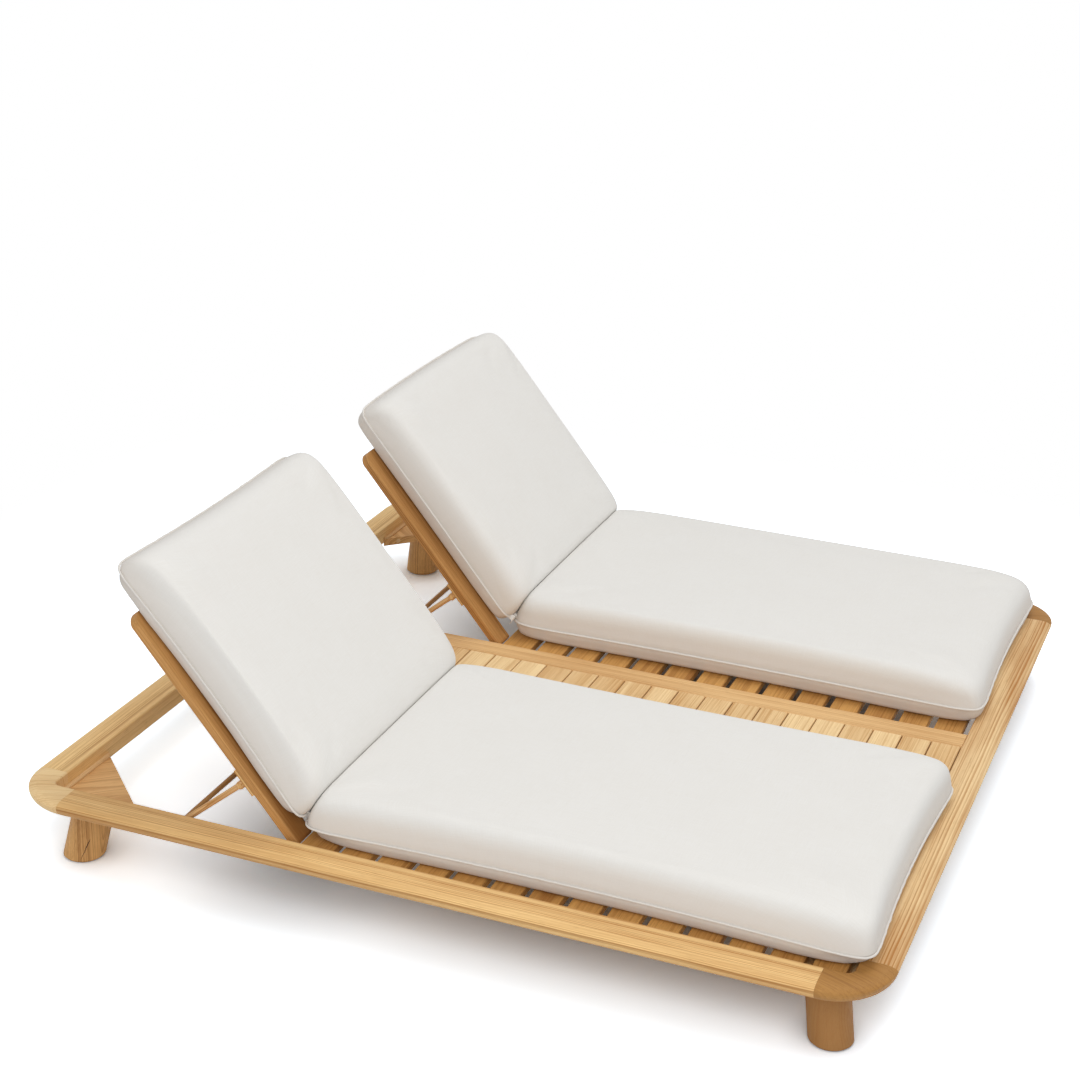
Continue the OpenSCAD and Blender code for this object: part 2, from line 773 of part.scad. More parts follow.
prop_arms(1);  // prop_arms_right
prop_crossbar(1);  // prop_crossbar_right
back_cushion(1, -right_shift);  // back_cushion_right
stile(0, 0);  // back_outer_stile_left
stile(0, 1);  // back_inner_stile_left
back_top_rail(0);  // back_top_rail_left
back_bottom_rail(0);  // back_bottom_rail_left
back_slats(0);  // back_slats_left
prop_knuckles(0);  // prop_knuckles_left
prop_pins(0);  // prop_pins_left
prop_arms(0);  // prop_arms_left
prop_crossbar(0);  // prop_crossbar_left
back_cushion(0, left_back_shift);  // back_cushion_left
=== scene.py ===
import math
import bpy
import numpy as np
from mathutils import Matrix, Vector


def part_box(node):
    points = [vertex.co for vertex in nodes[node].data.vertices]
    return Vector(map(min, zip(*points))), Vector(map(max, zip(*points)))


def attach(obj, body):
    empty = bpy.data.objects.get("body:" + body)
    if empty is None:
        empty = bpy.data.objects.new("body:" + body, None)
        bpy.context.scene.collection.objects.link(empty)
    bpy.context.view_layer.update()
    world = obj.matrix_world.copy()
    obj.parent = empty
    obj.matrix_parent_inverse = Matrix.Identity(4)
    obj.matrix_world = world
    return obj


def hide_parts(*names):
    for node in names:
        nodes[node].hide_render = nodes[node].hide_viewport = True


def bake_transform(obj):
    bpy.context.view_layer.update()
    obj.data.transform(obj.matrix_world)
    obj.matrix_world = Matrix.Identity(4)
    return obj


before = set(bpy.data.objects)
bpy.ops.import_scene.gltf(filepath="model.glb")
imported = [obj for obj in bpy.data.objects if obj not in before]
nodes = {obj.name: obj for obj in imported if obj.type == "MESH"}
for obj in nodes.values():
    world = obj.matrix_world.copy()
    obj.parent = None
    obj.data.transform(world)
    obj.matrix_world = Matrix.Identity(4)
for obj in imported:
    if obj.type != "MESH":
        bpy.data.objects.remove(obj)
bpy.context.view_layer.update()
scene = bpy.context.scene
print("frame loaded:", len(nodes), "nodes")


# camera: its place in metres, its turns in radians, its lens in millimetres
cameraSettings = {"place": (1.616, -4.504, 2.538), "turn": 1.9425, "down": 0.38703,
                  "roll": 0.02868, "lens": 70.89, "sensor": 36.0}


def makeCamera(s):
    forward = np.array([math.cos(s["turn"]) * math.cos(s["down"]),
                        math.sin(s["turn"]) * math.cos(s["down"]), -math.sin(s["down"])])
    side = np.cross(forward, [0, 0, 1])
    side /= np.linalg.norm(side)
    top = np.cross(side, forward)
    right = side * math.cos(s["roll"]) + top * math.sin(s["roll"])
    up = np.cross(right, forward)
    data = bpy.data.cameras.new("camera")
    data.lens, data.sensor_width = s["lens"], s["sensor"]
    camera = bpy.data.objects.new("camera", data)
    turn = Matrix(np.column_stack([right, up, -forward]).tolist()).to_4x4()
    camera.matrix_world = Matrix.Translation(Vector(s["place"])) @ turn
    scene.collection.objects.link(camera)
    scene.camera = camera


makeCamera(cameraSettings)
print("camera placed")


# helpers for node trees: a value that goes into a node is either a socket to link or a constant
def feed(tree, socket, value):
    if isinstance(value, bpy.types.NodeSocket):
        tree.links.new(value, socket)
    else:
        socket.default_value = value


def put(tree, kind, ins=None, **settings):
    node = tree.nodes.new("ShaderNode" + kind)
    for key, value in settings.items():
        setattr(node, key, value)
    for key, value in (ins or {}).items():
        feed(tree, node.inputs[key], value)
    return node


def calc(tree, operation, *values, clamp=False):
    ins = dict(enumerate(values))
    return put(tree, "Math", ins, operation=operation, use_clamp=clamp).outputs[0]


def plus(tree, a, b, clamp=False):
    return calc(tree, "ADD", a, b, clamp=clamp)


def minus(tree, a, b):
    return calc(tree, "SUBTRACT", a, b)


def times(tree, a, b):
    return calc(tree, "MULTIPLY", a, b)


def calcVector(tree, operation, *values):
    node = put(tree, "VectorMath", dict(enumerate(values)), operation=operation)
    return node.outputs["Value" if operation in ("LENGTH", "DOT_PRODUCT") else "Vector"]


def scaled(tree, vector, factor):
    ins = {0: vector, "Scale": factor}
    return put(tree, "VectorMath", ins, operation="SCALE").outputs["Vector"]


def mixed(tree, factor, a, b):
    ins = {"Factor": factor, "A": a, "B": b}
    return put(tree, "Mix", ins, data_type="RGBA").outputs["Result"]


def eased(tree, value, low, high, outLow=0.0, outHigh=1.0):
    ins = {"Value": value, "From Min": low, "From Max": high, "To Min": outLow, "To Max": outHigh}
    return put(tree, "MapRange", ins, interpolation_type="SMOOTHSTEP").outputs["Result"]


def noise(tree, vector, stretch=None, scale=1.0, detail=2.0, rough=0.5, part="Fac"):
    if stretch:
        vector = calcVector(tree, "MULTIPLY", vector, stretch)
    ins = {"Vector": vector, "Scale": scale, "Detail": detail, "Roughness": rough}
    return put(tree, "TexNoise", ins).outputs[part]


def noiseAlong(tree, value, scale, detail=1.0, rough=0.5):
    ins = {"W": value, "Scale": scale, "Detail": detail, "Roughness": rough}
    return put(tree, "TexNoise", ins, noise_dimensions="1D").outputs["Fac"]


def startGroup(name, ins, outs):
    tree = bpy.data.node_groups.new(name, "ShaderNodeTree")
    for label, kind, value in ins:
        socket = tree.interface.new_socket(label, in_out="INPUT", socket_type="NodeSocket" + kind)
        if value is not None:
            socket.default_value = value
    for label, kind in outs:
        tree.interface.new_socket(label, in_out="OUTPUT", socket_type="NodeSocket" + kind)
    return tree, tree.nodes.new("NodeGroupInput").outputs, tree.nodes.new("NodeGroupOutput").inputs


def useGroup(tree, group, **ins):
    return put(tree, "Group", ins, node_tree=group).outputs


def startMaterial(name):
    material = bpy.data.materials.new(name)
    material.use_nodes = True
    return material, material.node_tree, material.node_tree.nodes["Principled BSDF"].inputs


# floor, sky and lamps. The floor has one colour for the light that it throws back and another for
# the eye. The seen one carries painted shadow: it darkens close to things (the near rows: reach,
# share left), under the slats and behind the raised backs, and turns to plain white away from the
# bed
stageSettings = {"floorSize": 60.0, "floorColour": (0.74, 0.74, 0.74, 1), "rough": 0.9,
                 "seenFloor": (1.88, 2.06, 2.24), "nearShade": ((0.30, 0.66), (0.06, 0.45)),
                 "nearSamples": 8, "bedHalf": (1.0, 1.045, 0.0), "whiteFrom": 0.5, "whiteTo": 1.3,
                 "skyStrength": 0.60, "seenSky": 1.0}
# painted shadow on the seen floor: a darker patch under the slats and one behind the raised backs
deckShade = {"centre": (0.30, 0, 0), "half": (0.70, 1.045, 1), "from": 0.12, "to": 0.55,
             "left": 0.30}
backShade = {"centre": (-0.42, 0.66, 0), "stretch": (1.0, 0.8, 1), "from": 0.05, "to": 0.42,
             "left": 0.44}
lampSettings = [  # name, place, target, size, watts
    ("softLamp", (1.15, 1.1, 4.9), (0, 0, 0.2), 3.2, 68),
    ("frontLamp", (1.5, -4.6, 3.5), (0, 0, 0.2), 3.6, 99)]


# 1 for rays that look at the background itself, straight, in a reflection or through glass
def seenDirectly(tree):
    path = put(tree, "LightPath").outputs
    seen = calc(tree, "MAXIMUM", path["Is Camera Ray"], path["Is Glossy Ray"])
    return calc(tree, "MAXIMUM", seen, path["Is Transmission Ray"])


# shares of painted shadow for the seen floor: occlusion close to things, the patch under the slats
# and the patch behind the raised backs
def floorShadeShares(tree, place, s):
    shares = []
    for reach, left in s["nearShade"]:
        close = put(tree, "AmbientOcclusion", {"Distance": reach}, samples=s["nearSamples"])
        ins = {"Value": close.outputs["AO"], "To Min": left}
        shares.append(put(tree, "MapRange", ins).outputs[0])
    # both sides of the bed alike, so Y counts without its sign
    mirrored = calcVector(tree, "MAXIMUM", place, calcVector(tree, "MULTIPLY", place, (1, -1, 1)))
    d = deckShade
    off = calcVector(tree, "ABSOLUTE", calcVector(tree, "SUBTRACT", mirrored, d["centre"]))
    inner = put(tree, "SeparateXYZ", {0: calcVector(tree, "SUBTRACT", d["half"], off)}).outputs
    edge = calc(tree, "MINIMUM", inner[0], inner[1])
    shares.append(eased(tree, edge, d["from"], d["to"], 1.0, d["left"]))
    d = backShade
    off = calcVector(tree, "SUBTRACT", mirrored, d["centre"])
    far = calcVector(tree, "LENGTH", calcVector(tree, "MULTIPLY", off, d["stretch"]))
    shares.append(eased(tree, far, d["from"], d["to"], d["left"], 1.0))
    return shares


def makeFloor(s):
    mesh = bpy.data.meshes.new("floor")
    h = s["floorSize"] / 2
    mesh.from_pydata([(-h, -h, 0), (h, -h, 0), (h, h, 0), (-h, h, 0)], [], [(0, 1, 2, 3)])
    floor = bpy.data.objects.new("floor", mesh)
    scene.collection.objects.link(floor)
    material, tree, shader = startMaterial("paleFloor")
    shader["Roughness"].default_value = s["rough"]
    shader["Specular IOR Level"].default_value = 0.0
    seen = seenDirectly(tree)
    place = put(tree, "TexCoord").outputs["Object"]
    shown = s["seenFloor"]
    for share in floorShadeShares(tree, place, s):
        shown = scaled(tree, shown, share)
    tree.links.new(mixed(tree, seen, s["floorColour"], shown), shader["Base Color"])
    beyond = calcVector(tree, "SUBTRACT", calcVector(tree, "ABSOLUTE", place), s["bedHalf"])
    away = calcVector(tree, "LENGTH", calcVector(tree, "MAXIMUM", beyond, (0, 0, 0)))
    white = times(tree, eased(tree, away, s["whiteFrom"], s["whiteTo"]), seen)
    glow = put(tree, "Emission", {"Color": (1, 1, 1, 1), "Strength": s["seenSky"]})
    lit = tree.nodes["Principled BSDF"].outputs[0]
    both = put(tree, "MixShader", {0: white, 1: lit, 2: glow.outputs[0]})
    tree.links.new(both.outputs[0], tree.nodes["Material Output"].inputs["Surface"])
    mesh.materials.append(material)


def makeSky(s):
    world = bpy.data.worlds.new("sky")
    scene.world = world
    world.use_nodes = True
    tree = world.node_tree
    ins = {"Value": seenDirectly(tree), "To Min": s["skyStrength"], "To Max": s["seenSky"]}
    strength = put(tree, "MapRange", ins).outputs[0]
    tree.nodes["Background"].inputs["Color"].default_value = (1, 1, 1, 1)
    tree.links.new(strength, tree.nodes["Background"].inputs["Strength"])


def makeLamp(name, place, target, size, watts):
    data = bpy.data.lights.new(name, "AREA")
    data.shape, data.size, data.energy = "DISK", size, watts
    lamp = bpy.data.objects.new(name, data)
    lamp.location = place
    lamp.rotation_euler = (Vector(target) - Vector(place)).to_track_quat("-Z", "Y").to_euler()
    scene.collection.objects.link(lamp)


makeFloor(stageSettings)
makeSky(stageSettings)
for lamp in lampSettings:
    makeLamp(*lamp)
scene.view_settings.view_transform = "Standard"
print("stage and lamps set")


# wood: growth rings round a heart line beside the board, in a frame whose X runs along the grain.
# triples stretch a noise along X, Y and Z, and pairs are where an eased step starts and ends
grainSettings = {"seedMove": (3.1, 1.7, 2.3), "bend": (1.1, 6.0, 6.0), "ringsAlong": (0.02, 1, 1),
                 "yearSeed": 17.3, "unevenScale": 0.45, "uneven": 2.5, "lateWood": (0.25, 0.92),
                 "lineEnd": (0.94, 1.0), "strengthScale": 0.33, "strengthStart": 71.0,
                 "strength": (0.36, 0.62), "weakest": 0.25, "patches": (2.2, 14, 14),
                 "patchStep": (0.3, 0.7), "streaks": (7, 420, 420), "streakStep": (0.32, 0.68),
                 "pores": (38, 1100, 1100), "poreStep": (0.62, 0.74), "ridge": 0.6, "pit": 0.5}


def makeGrainGroup(s):
    tree, ins, outs = startGroup(
        "grain", [("Vector", "Vector", None), ("Heart", "Vector", (0, 0.05, 0.16)),
                  ("Rings", "Float", 130.0), ("Warp", "Float", 0.02), ("Seed", "Float", 0.0)],
        [("Figure", "Float"), ("Tone", "Float"), ("Streak", "Float"), ("Pore", "Float"),
         ("Height", "Float")])
    moved = calcVector(tree, "ADD", ins["Vector"], scaled(tree, s["seedMove"], ins["Seed"]))
    # distance from the heart, bent a little along the board
    wander = noise(tree, moved, s["bend"], part="Color")
    bend = calcVector(tree, "SUBTRACT", wander, (0.5, 0.5, 0.5))
    bend = calcVector(tree, "MULTIPLY", bend, (0, 1, 1))
    push = scaled(tree, bend, ins["Warp"])
    across = calcVector(tree, "ADD", ins["Vector"], ins["Heart"])
    across = calcVector(tree, "MULTIPLY", across, s["ringsAlong"])
    far = calcVector(tree, "LENGTH", calcVector(tree, "ADD", across, push))
    years = plus(tree, times(tree, far, ins["Rings"]), times(tree, ins["Seed"], s["yearSeed"]))
    # years of uneven width: each darkens slowly and ends in a sharp line, some strongly, some not
    spread = noiseAlong(tree, years, s["unevenScale"])
    phase = calc(tree, "FRACT", plus(tree, years, times(tree, spread, s["uneven"])))
    late = times(tree, eased(tree, phase, *s["lateWood"]),
                 eased(tree, phase, *s["lineEnd"], 1.0, 0.0))
    strong = noiseAlong(tree, plus(tree, years, s["strengthStart"]), s["strengthScale"])
    figure = times(tree, late, eased(tree, strong, *s["strength"], s["weakest"], 1.0))
    tree.links.new(figure, outs["Figure"])
    patches = noise(tree, moved, s["patches"], detail=3.0)
    tree.links.new(eased(tree, patches, *s["patchStep"]), outs["Tone"])
    thin = noise(tree, moved, s["streaks"], rough=0.6)
    tree.links.new(eased(tree, thin, *s["streakStep"]), outs["Streak"])
    pore = eased(tree, noise(tree, moved, s["pores"], detail=1.0), *s["poreStep"])
    tree.links.new(pore, outs["Pore"])
    height = minus(tree, times(tree, thin, s["ridge"]), times(tree, pore, s["pit"]))
    tree.links.new(height, outs["Height"])
    return tree


# boards laid side by side along one coordinate: a tone and a grain shift of its own for each,
# and a thin line at each joint
def makeBoardGroup():
    tree, ins, outs = startGroup(
        "boards", [("Place", "Float", 0.0), ("Start", "Float", 0.0), ("Pitch", "Float", 0.07),
                   ("Line", "Float", 0.0007), ("Seed", "Float", 0.0)],
        [("Tone", "Float"), ("Shift", "Vector"), ("Joint", "Float")])
    step = calc(tree, "DIVIDE", minus(tree, ins["Place"], ins["Start"]), ins["Pitch"])
    number = plus(tree, calc(tree, "FLOOR", step), 0.37)  # well between whole numbers
    chance = put(tree, "TexWhiteNoise", {"W": plus(tree, number, ins["Seed"])},
                 noise_dimensions="1D").outputs
    tree.links.new(chance["Value"], outs["Tone"])
    tree.links.new(calcVector(tree, "SUBTRACT", chance["Color"], (0.5, 0.5, 0.5)), outs["Shift"])
    middle = calc(tree, "ABSOLUTE", minus(tree, calc(tree, "FRACT", step), 0.5))
    gap = times(tree, minus(tree, 0.5, middle), ins["Pitch"])
    tree.links.new(calc(tree, "LESS_THAN", gap, ins["Line"]), outs["Joint"])
    return tree


grainGroup = makeGrainGroup(grainSettings)
boardGroup = makeBoardGroup()

# common look of the teak; a piece's own settings go over these. heart is where the rings' middle
# lies, turn lays the grain along the piece, and boards gives an axis, a start and a width
woodSettings = {"light": (0.90, 0.605, 0.265), "dark": (0.45, 0.195, 0.046), "deep": 0.55,
                "figure": 0.62, "tone": 0.38, "streak": 0.20, "pore": 0.30, "rings": 135.0,
                "warp": 0.02, "heart": (0, 0.22, 0.06), "turn": (0, 0, 0), "seed": 0.0,
                "boards": None, "boardShift": (2.0, 0.05, 0.10), "boardTone": 0.0, "joint": 0.0,
                "rough": 0.58, "streakRough": 0.12, "bump": 0.35, "bumpDeep": 0.0008,
                "edge": 0.0012, "shine": 0.32, "crack": None}


# a drying crack that wanders up a leg: how far a point is across it, less the wander, against its
# width, on the side of the leg that faces out
def makeCrack(tree, place, c):
    point = calcVector(tree, "SUBTRACT", place, (*c["axis"], 0.0))
    across = calcVector(tree, "DOT_PRODUCT", point, (*c["across"], 0.0))
    outside = calcVector(tree, "DOT_PRODUCT", point, (c["across"][1], -c["across"][0], 0.0))
    height = put(tree, "SeparateXYZ", {0: place}).outputs[2]
    wander = noiseAlong(tree, height, c["wanderScale"], detail=3.0, rough=0.7)
    wander = times(tree, minus(tree, wander, 0.5), c["wander"])
    lean = plus(tree, times(tree, height, c["lean"]), c["start"])
    far = calc(tree, "ABSOLUTE", minus(tree, across, plus(tree, wander, lean)))
    wide = times(tree, eased(tree, height, c["low"], c["high"], *c["widths"]), c["wide"])
    inside = calc(tree, "LESS_THAN", far, wide)
    ends = times(tree, eased(tree, height, c["low"], c["low"] + c["fade"]),
                 eased(tree, height, c["high"] - c["fade"], c["high"], 1.0, 0.0))
    front = calc(tree, "GREATER_THAN", outside, 0.0)
    return times(tree, times(tree, inside, ends), front)


# colour = light to dark by the rings and the tone, then streaks, pores and glue joints over it
def makeWood(name, centre, changes):
    s = {**woodSettings, **changes}
    material, tree, shader = startMaterial(name)
    place = put(tree, "TexCoord").outputs["Object"]
    local = put(tree, "Mapping", {"Vector": calcVector(tree, "SUBTRACT", place, tuple(centre)),
                                  "Rotation": s["turn"]}).outputs[0]
    board = None
    if s["boards"]:
        axis, start, pitch = s["boards"]
        coordinate = put(tree, "SeparateXYZ", {0: local}).outputs[axis]
        board = useGroup(tree, boardGroup, Place=coordinate, Start=start, Pitch=pitch,
                         Seed=s["seed"])
        shift = calcVector(tree, "MULTIPLY", board["Shift"], s["boardShift"])
        local = calcVector(tree, "ADD", local, shift)
    grain = useGroup(tree, grainGroup, Vector=local, Heart=s["heart"], Rings=s["rings"],
                     Warp=s["warp"], Seed=s["seed"])
    dark = times(tree, grain["Figure"], s["figure"])
    dark = plus(tree, dark, times(tree, grain["Tone"], s["tone"]))
    if board:
        dark = plus(tree, dark, times(tree, minus(tree, board["Tone"], 0.5), s["boardTone"]))
    dark = plus(tree, dark, times(tree, grain["Streak"], s["streak"]), clamp=True)
    colour = mixed(tree, dark, (*s["light"], 1), (*s["dark"], 1))
    deep = (*(s["deep"] * v for v in s["dark"]), 1)
    colour = mixed(tree, times(tree, grain["Pore"], s["pore"]), colour, deep)
    if board:
        colour = mixed(tree, times(tree, board["Joint"], s["joint"]), colour, deep)
    height = grain["Height"]
    if s["crack"]:
        opened = makeCrack(tree, place, s["crack"])
        colour = mixed(tree, opened, colour, s["crack"]["colour"])
        height = minus(tree, height, times(tree, opened, s["crack"]["deep"]))
    tree.links.new(colour, shader["Base Color"])
    rough = plus(tree, times(tree, grain["Streak"], s["streakRough"]), s["rough"])
    tree.links.new(rough, shader["Roughness"])
    soft = put(tree, "Bevel", {"Radius": s["edge"]}, samples=3).outputs[0]
    bump = put(tree, "Bump", {"Height": height, "Normal": soft, "Strength": s["bump"],
                              "Distance": s["bumpDeep"]})
    tree.links.new(bump.outputs[0], shader["Normal"])
    shader["Specular IOR Level"].default_value = s["shine"]
    return material


def dress(name, material):
    for slot in nodes[name].material_slots:
        slot.material = material


def centreOf(name):
    low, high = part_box(name)
    return [(a + b) / 2 for a, b in zip(low, high)]


backAngle = math.radians(49.8)
propAngle = math.radians(39.97)
quarter = math.pi / 2
acrossTurn, backTurn, propTurn = (0, 0, quarter), (0, -backAngle, 0), (0, propAngle, 0)
spineLook = {"figure": 0.4, "tone": 0.3, "light": (0.82, 0.535, 0.25)}
deckLook = {"turn": acrossTurn, "heart": (0, 0.05, 0.16), "rings": 110.0, "warp": 0.03}
seatLook = {**deckLook, "boards": (1, -0.6090, 0.087), "boardTone": 0.4, "figure": 0.4,
            "light": (0.66, 0.35, 0.10), "dark": (0.34, 0.14, 0.03)}
woodPieces = {  # node: what differs from the common look
    "side_rail_right": {"boards": (1, -0.0385, 0.0193), "boardTone": 0.12, "joint": 0.28,
                        "seed": 1.4, "figure": 0.72, "tone": 0.3},
    "side_rail_left": {"boards": (1, -0.0385, 0.0257), "boardTone": 0.16, "joint": 0.5,
                       "seed": 2.0, "figure": 0.65, "tone": 0.28},
    "head_rail": {"turn": acrossTurn, "seed": 3.0, "light": (0.95, 0.67, 0.31), "figure": 0.5,
                  "tone": 0.15},
    "foot_rail": {"turn": acrossTurn, "seed": 4.0, "light": (0.87, 0.635, 0.34), "tone": 0.5},
    "spine_right": {**spineLook, "seed": 5.0}, "spine_left": {**spineLook, "seed": 6.0},
    "deck_slats": {**deckLook, "boards": (1, -0.9245, 0.071), "boardTone": 0.6, "seed": 7.0,
                   "light": (0.91, 0.67, 0.36), "dark": (0.54, 0.27, 0.08), "figure": 0.35},
    "seat_slats_right": {**seatLook, "seed": 8.0}, "seat_slats_left": {**seatLook, "seed": 9.0},
    "gusset_cleats": {"turn": acrossTurn, "seed": 10.0, "light": (0.90, 0.66, 0.36),
                      "figure": 0.3},
    "gusset_plugs": {"seed": 11.0, "light": (0.86, 0.62, 0.33), "figure": 0.2, "tone": 0.1},
    "corner_dowels": {"seed": 12.0}, "deck_battens": {"seed": 13.0},
    "seat_battens": {"seed": 14.0}, "notch_racks": {"seed": 15.0}}
# head and foot copies of the same teak: the head corners and legs are lighter with painted light,
# the foot ones darker with painted shade, for how the light falls on each end
cornerLitAndShaded = {"head": {"light": (0.97, 0.74, 0.40), "dark": (0.60, 0.32, 0.11)},
              "foot": {"light": (0.46, 0.23, 0.058), "dark": (0.24, 0.10, 0.024)}}
legLitAndShaded = {"head": (0.78, 0.45, 0.17), "foot": (0.38, 0.19, 0.06)}
# the crack in one leg: axis is the middle of the leg's foot, across the direction square to the
# crack, start and lean its line, and low and high its ends
legCrack = {"axis": (-0.868, -0.910), "across": (0.822, 0.570), "start": -0.0317, "lean": 0.477,
            "low": 0.006, "high": 0.062, "fade": 0.01, "wide": 0.0010, "widths": (0.5, 1.3),
            "wander": 0.008, "wanderScale": 55.0, "colour": (0.05, 0.02, 0.008, 1), "deep": 2.0}
for row, (bay, side) in enumerate((("right", -1), ("left", 1))):
    for other, (end, along) in enumerate((("head", -1), ("foot", 1))):
        seed = 20.0 + 2 * row + other
        woodPieces[f"corner_block_{end}_{bay}"] = {
            "turn": (0, 0, -0.35 * side * along), "seed": seed, "figure": 0.28, "tone": 0.3,
            "warp": 0.06, "rings": 90.0, **cornerLitAndShaded[end]}
        woodPieces[f"gusset_{end}_{bay}"] = {
            "turn": (0, 0, -0.78 * side * along), "seed": seed + 5, "figure": 0.45, "warp": 0.11,
            "rings": 95.0, "heart": (0, 0.06, 0.14), "light": (0.86, 0.53, 0.23),
            "dark": (0.46, 0.21, 0.06)}
        woodPieces[f"leg_{end}_{bay}"] = {
            "turn": (0, quarter, 0), "seed": seed + 10, "figure": 0.55, "rings": 150.0,
            "heart": (0, 0.02, 0.05), "light": legLitAndShaded[end], "dark": (0.34, 0.155, 0.045),
            "crack": legCrack if (end, bay) == ("head", "right") else None}
    for number, part in enumerate(("outer_stile", "inner_stile")):
        woodPieces[f"back_{part}_{bay}"] = {
            "turn": backTurn, "seed": 40.0 + 2 * row + number, "light": (0.60, 0.31, 0.10),
            "dark": (0.30, 0.125, 0.028), "heart": (0, 0.05, 0.22), "figure": 0.9,
            "streak": 0.35}
    for number, part in enumerate(("top_rail", "bottom_rail", "slats")):
        woodPieces[f"back_{part}_{bay}"] = {"turn": acrossTurn, "seed": 46.0 + 3 * row + number}
    woodPieces[f"prop_knuckles_{bay}"] = {"turn": backTurn, "seed": 54.0 + row}
    woodPieces[f"prop_pins_{bay}"] = {"turn": acrossTurn, "seed": 60.0 + row, "rings": 300.0}
    woodPieces[f"prop_arms_{bay}"] = {"turn": propTurn, "seed": 56.0 + row, "rings": 260.0,
                                      "light": (0.82, 0.54, 0.26)}
    woodPieces[f"prop_crossbar_{bay}"] = {"turn": acrossTurn, "seed": 58.0 + row, "rings": 260.0,
                                          "light": (0.62, 0.37, 0.15), "dark": (0.34, 0.16, 0.05)}
for name, changes in woodPieces.items():
    dress(name, makeWood("teak_" + name, centreOf(name), changes))
print("teak:", len(woodPieces), "pieces")


# brushed steel for pins, screws and bolts: noise drawn out along Y
steelSettings = {"colour": (0.62, 0.62, 0.60, 1), "dark": (0.42, 0.42, 0.41, 1),
                 "scratch": 900.0, "stretch": (1, 0.05, 1), "rough": 0.32, "scratchRough": 0.2,
                 "bump": 0.15, "bumpDeep": 0.0002}


def makeSteel(s):
    material, tree, shader = startMaterial("brushedSteel")
    place = put(tree, "TexCoord").outputs["Object"]
    lines = noise(tree, place, s["stretch"], s["scratch"])
    tree.links.new(mixed(tree, lines, s["colour"], s["dark"]), shader["Base Color"])
    rough = plus(tree, times(tree, lines, s["scratchRough"]), s["rough"])
    tree.links.new(rough, shader["Roughness"])
    shader["Metallic"].default_value = 1.0
    bump = put(tree, "Bump", {"Height": lines, "Strength": s["bump"], "Distance": s["bumpDeep"]})
    tree.links.new(bump.outputs[0], shader["Normal"])
    return material


steel = makeSteel(steelSettings)
for name in ("pivot_pins", "leg_bolts", "gusset_screws"):
    dress(name, steel)
print("steel fittings")


# linen: a plain weave in metres over the cloth's own coordinates, with thicker yarns here and
# there, both ways
# the seam colour is not a colour of the linen: it is painted shade, a darker beige laid near the
# seam
linenSettings = {"colour": (0.800, 0.787, 0.757), "shade": (0.735, 0.705, 0.655),
                 "seam": (0.650, 0.585, 0.520), "thread": 0.0011, "slubs": 0.35,
                 "cloudStep": (0.3, 0.7), "clouds": 0.12,
                 "bump": 0.35, "bumpDeep": 0.0006, "sheen": 0.15, "rough": 0.92, "shine": 0.2}
weaveSettings = {"yarns": ((900, 22, 1), (22, 900, 1)), "slubStep": (0.38, 0.62), "relief": 0.5,
                 "cloudScale": 7.0}


def makeWeaveGroup(s):
    tree, ins, outs = startGroup(
        "weave", [("Vector", "Vector", None), ("Thread", "Float", 0.0011)],
        [("Height", "Float"), ("Slub", "Float"), ("Cloud", "Float")])
    split = put(tree, "SeparateXYZ", {0: ins["Vector"]}).outputs
    waves = []
    for axis in (0, 1):
        turns = calc(tree, "DIVIDE", split[axis], ins["Thread"])
        waves.append(calc(tree, "ABSOLUTE", calc(tree, "SINE", times(tree, turns, math.pi))))
    weave = times(tree, *waves)
    yarns = [noise(tree, ins["Vector"], stretch) for stretch in s["yarns"]]
    slub = times(tree, plus(tree, *yarns), 0.5)
    tree.links.new(eased(tree, slub, *s["slubStep"]), outs["Slub"])
    tree.links.new(plus(tree, times(tree, weave, s["relief"]), slub), outs["Height"])
    cloud = noise(tree, ins["Vector"], scale=s["cloudScale"], detail=3.0)
    tree.links.new(cloud, outs["Cloud"])
    return tree


weaveGroup = makeWeaveGroup(weaveSettings)


# the third cloth coordinate says how much painted shade a point takes: a darker beige near the
# seam that stands in for the shade there, warmed as if by light thrown back from the wood
def makeLinen(name, s):
    material, tree, shader = startMaterial(name)
    flat = put(tree, "Attribute", attribute_name="cloth").outputs["Vector"]
    weave = useGroup(tree, weaveGroup, Vector=flat, Thread=s["thread"])
    shade, seam = (*s["shade"], 1), (*s["seam"], 1)
    colour = mixed(tree, times(tree, weave["Slub"], s["slubs"]), (*s["colour"], 1), shade)
    paintedShadeShare = put(tree, "SeparateXYZ", {0: flat}).outputs[2]
    # painted shade: the linen goes towards the darker beige by this share
    colour = mixed(tree, paintedShadeShare, colour, seam)
    cloud = eased(tree, weave["Cloud"], *s["cloudStep"], 0.0, s["clouds"])
    colour = mixed(tree, cloud, colour, shade)
    tree.links.new(colour, shader["Base Color"])
    shader["Roughness"].default_value = s["rough"]
    shader["Specular IOR Level"].default_value = s["shine"]
    shader["Sheen Weight"].default_value = s["sheen"]
    bump = put(tree, "Bump", {"Height": weave["Height"], "Strength": s["bump"],
                              "Distance": s["bumpDeep"]})
    tree.links.new(bump.outputs[0], shader["Normal"])
    return material


linen = makeLinen("ivoryLinen", linenSettings)


